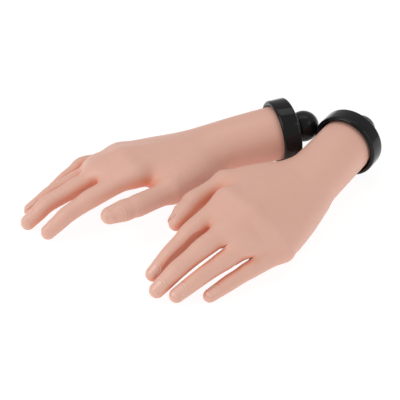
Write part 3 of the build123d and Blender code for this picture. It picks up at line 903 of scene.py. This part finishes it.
def collarPiece(hand, group, material):
    # stands where the frame's collar stands, and faces along the forearm
    low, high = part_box(f"{hand.side}_collar")
    axis = hand.turn @ forearmAxis(hand)
    section = np.array(collarSection())
    radius = section[:, 0].mean()
    data = bpy.data.meshes.new(f"{hand.side}_collar_ring")
    data.from_pydata([((x - radius) * millimetre, y * millimetre, 0) for x, y in section],
                     [(i, (i + 1) % len(section)) for i in range(len(section))], [])
    ring = addObject(f"{hand.side}_collar_ring", data)
    modifier = ring.modifiers.new("swept ring", "NODES")
    modifier.node_group = group
    inputs = {item.name: item.identifier for item in group.interface.items_tree if item.in_out == "INPUT"}
    modifier[inputs["Radius"]] = float(radius * millimetre)
    modifier[inputs["Segments"]] = collarShape["segments"]
    modifier[inputs["Finish"]] = material
    data = applied(ring)
    turn = Vector((0, 0, 1)).rotation_difference(Vector(axis)).to_matrix().to_4x4()
    data.transform(Matrix.Translation(hand.world([(0, 0, 0)])[0]) @ turn)
    move = (np.array(low) + np.array(high)) / 2 - centreOf(data)
    data.transform(Matrix.Translation(move))
    return ring


def centreOf(data):
    points = np.array([v.co for v in data.vertices])
    return (points.min(0) + points.max(0)) / 2


forearmLean = dict(aside=8, down=6)  # degrees from the palm's axis


def forearmAxis(hand):
    # the way along the forearm to the fingers
    yaw, pitch = math.radians(-forearmLean["aside"] * hand.sign), math.radians(forearmLean["down"])
    return np.array([math.cos(yaw) * math.cos(pitch), math.sin(yaw) * math.cos(pitch), -math.sin(pitch)])


# lights, floor and camera
light = dict(world=0.61, worldColour=(1.0, 0.985, 0.965), aim=(0, 0, 0.03), boxes=[
    dict(name="left box", place=(-1.1, -0.5, 0.9), size=(0.9, 1.1), power=9),
    dict(name="right box", place=(1.2, -0.5, 0.7), size=(0.5, 1.2), power=3.5),
    dict(name="top box", place=(0.0, 0.5, 1.4), size=(1.4, 0.6), power=3.5)])
# glow: the share of plain white that the camera sees in the floor. lift: the light that the
# paper gives of itself. drop: how far it lies under the hands
paperFloor = dict(size=3.0, cells=40, grey=0.86, roughness=0.8, glow=0.86, lift=0.42, drop=0.0004)
camera = dict(elevation=37.61, azimuth=0.0, distance=0.8308, lens=94.63, target=(-0.0042, -0.0163, 0.0295),
              nearest=0.01, farthest=20)


def softBox(name, place, size, power):
    lamp = bpy.data.lights.new(name, "AREA")
    lamp.shape = "RECTANGLE"
    lamp.size, lamp.size_y = size
    lamp.energy = power
    holder = bpy.data.objects.new(name, lamp)
    bpy.context.scene.collection.objects.link(holder)
    holder.location = place
    holder.rotation_euler = (Vector(place) - Vector(light["aim"])).to_track_quat("Z", "Y").to_euler()


def whiteForCamera(tree, surface, share):
    # what the camera sees, also through clear pieces, has this share of plain white in it, and
    # every other ray meets the surface alone
    path = tree.nodes.new("ShaderNodeLightPath")
    seen = tree.nodes.new("ShaderNodeMath")
    seen.operation = "MAXIMUM"
    tree.links.new(path.outputs["Is Camera Ray"], seen.inputs[0])
    tree.links.new(path.outputs["Is Transmission Ray"], seen.inputs[1])
    part = tree.nodes.new("ShaderNodeMath")
    part.operation = "MULTIPLY"
    part.inputs[1].default_value = share
    tree.links.new(seen.outputs[0], part.inputs[0])
    white = tree.nodes.new("ShaderNodeEmission" if surface.bl_idname != "ShaderNodeBackground"
                           else "ShaderNodeBackground")
    white.inputs["Color"].default_value = (1, 1, 1, 1)
    white.inputs["Strength"].default_value = 1.0
    mix = tree.nodes.new("ShaderNodeMixShader")
    tree.links.new(part.outputs[0], mix.inputs[0])
    tree.links.new(surface.outputs[0], mix.inputs[1])
    tree.links.new(white.outputs[0], mix.inputs[2])
    return mix


def setSky():
    scene = bpy.context.scene
    scene.view_settings.view_transform = "Standard"
    world = bpy.data.worlds.new("studio")
    scene.world = world
    world.use_nodes = True
    tree = world.node_tree
    sky = tree.nodes["Background"]
    sky.inputs["Color"].default_value = (*light["worldColour"], 1)
    sky.inputs["Strength"].default_value = light["world"]
    tree.links.new(whiteForCamera(tree, sky, 1.0).outputs[0], tree.nodes["World Output"].inputs[0])


def setFloor():
    data = bpy.data.meshes.new("floor")
    mesh = bmesh.new()
    cells = paperFloor["cells"]
    bmesh.ops.create_grid(mesh, x_segments=cells, y_segments=cells, size=paperFloor["size"])
    mesh.to_mesh(data)
    mesh.free()
    floor = addObject("floor", data)
    material = bpy.data.materials.new("paper floor")
    material.use_nodes = True
    tree = material.node_tree
    paper = tree.nodes["Principled BSDF"]
    grey = paperFloor["grey"]
    paper.inputs["Base Color"].default_value = (grey, grey, grey, 1)
    paper.inputs["Roughness"].default_value = paperFloor["roughness"]
    paper.inputs["Emission Strength"].default_value = paperFloor["lift"]
    output = tree.nodes["Material Output"]
    tree.links.new(whiteForCamera(tree, paper, paperFloor["glow"]).outputs[0], output.inputs[0])
    data.materials.append(material)
    floor.location.z = -paperFloor["drop"]


def setCamera():
    data = bpy.data.cameras.new("camera")
    data.lens = camera["lens"]
    holder = bpy.data.objects.new("camera", data)
    bpy.context.scene.collection.objects.link(holder)
    bpy.context.scene.camera = holder
    rise, turn = math.radians(camera["elevation"]), math.radians(camera["azimuth"])
    back = Vector((math.sin(turn) * math.cos(rise), -math.cos(turn) * math.cos(rise), math.sin(rise)))
    holder.location = Vector(camera["target"]) + back * camera["distance"]
    holder.rotation_mode = "QUATERNION"
    holder.rotation_quaternion = (-back).to_track_quat("-Z", "Y")
    data.clip_start, data.clip_end = camera["nearest"], camera["farthest"]


def repaint(nodes, material):
    for node in nodes:
        data = frame["nodes"][node].data
        data.materials.clear()
        data.materials.append(material)


# the object
materials = {
    "skin": skinMaterial("soft skin", skinLook["pale"], skinLook["mid"], skinLook["paintedShadeTone"]),
    "fold": skinMaterial("nail fold skin", nailLook["fold"], skinLook["pale"], skinLook["mid"]),
    "nail": nailMaterial(),
    **{piece: plasticMaterial(**look) for piece, look in plasticLooks.items()},
    "steel": steelMaterial(),
}
ringGroup = sweepTree()
print("materials made")


def addFlesh(hand, whole, name):
    # the two pieces of a digit's skin, the lower one and the tip
    side, joint = hand.side, hand.joints[name]
    lower = skinObject(hand, lowerPiece(hand, whole, name), f"{side}_{name}_lower_flesh")
    tip = skinObject(hand, tipPiece(hand, whole, name), f"{side}_{name}_tip_flesh")
    for piece, part in ((lower, "lower"), (tip, "tip")):
        piece.data.materials.append(materials["skin"])
        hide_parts(f"{side}_{name}_{part}_skin")
    if name == "thumb":
        start, normal = thumbPlane(hand)
        reach = fingerCut["thumbBlend"]
    else:
        point, normal = fingerPlane(hand)
        start = joint["knuckle"] + normal * ((point - joint["knuckle"]) @ normal)
        reach = fingerCut["blend"]
    ends = hand.world([start, start + normal * reach])
    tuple(ends[0])
    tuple(ends[1])
    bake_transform(lower)
    start, normal = middlePlane(hand, name)
    far = digits[name]["reach"][0] - digits[name]["cut"] + digits[name]["blendEnd"]
    ends = hand.world([start, start + normal * far])
    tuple(ends[0])
    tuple(ends[1])
    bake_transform(tip)


def addNail(hand, name):
    plate = nailPiece(hand, name, materials["nail"])
    fold = foldPiece(hand, name, materials["fold"])
    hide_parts(f"{hand.side}_{name}_nail")
    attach(plate, f"{hand.side}_{name}_tip")
    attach(fold, f"{hand.side}_{name}_tip")


def addCollar(hand):
    ring = collarPiece(hand, ringGroup, materials["collar"])
    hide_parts(f"{hand.side}_collar")
    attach(ring, "hands")


def addHand(side):
    hand = Hand(side)
    whole = meshOf(*handSurface(hand))
    palm = skinObject(hand, palmPiece(hand, whole), f"{side}_palm")
    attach(palm, "hands")
    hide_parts(f"{side}_palm_skin")
    palm.data.materials.append(materials["skin"])
    for name in digits:
        addFlesh(hand, whole, name)
        addNail(hand, name)
    whole.free()
    addCollar(hand)
    repaint([f"{side}_base"], materials["base"])
    links = [f"{side}_{name}_{part}_link" for name in digits for part in ("lower", "tip")]
    repaint([f"{side}_palm_frame"] + links, materials["nylon"])
    print(f"{side} hand built")


for side in sides:
    addHand(side)
repaint(["knuckle_pins", "base_screws"], materials["steel"])

setSky()
setFloor()
for box in light["boxes"]:
    softBox(**box)
setCamera()
print("lights, floor and camera set")
